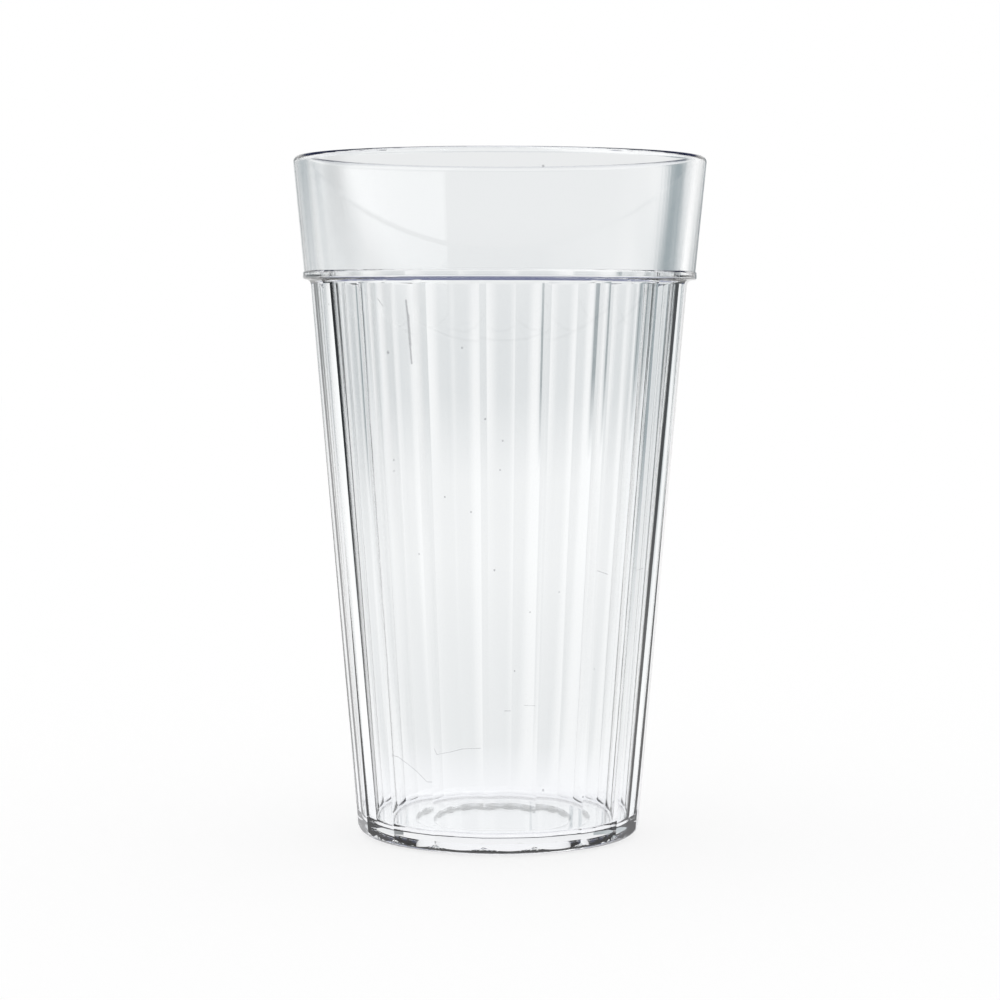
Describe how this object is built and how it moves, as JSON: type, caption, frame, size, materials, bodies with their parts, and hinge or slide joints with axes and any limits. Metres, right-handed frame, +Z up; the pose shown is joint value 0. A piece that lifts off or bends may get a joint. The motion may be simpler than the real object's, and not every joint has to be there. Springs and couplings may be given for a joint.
{
  "type": "plastic tumbler cup",
  "caption": "Clear rigid plastic drinking tumbler with a smooth tapered collar, a small stacking bead and a tapered body of flat vertical panels.",
  "frame": {"origin": "centre of the base, in the plane of the ring that the cup stands on", "axes": "+Z up along the axis of the cup, out of its mouth; -Y out of the middle of one flat panel, which is the front; +X to the right seen from the front"},
  "size_m": [0.086, 0.086, 0.1418],
  "materials": {
    "clear_plastic": "clear transparent rigid plastic with a glossy moulded surface, lightly scuffed"
  },
  "bodies": {
    "root": {"tumbler": "clear_plastic"}
  },
  "joints": []
}
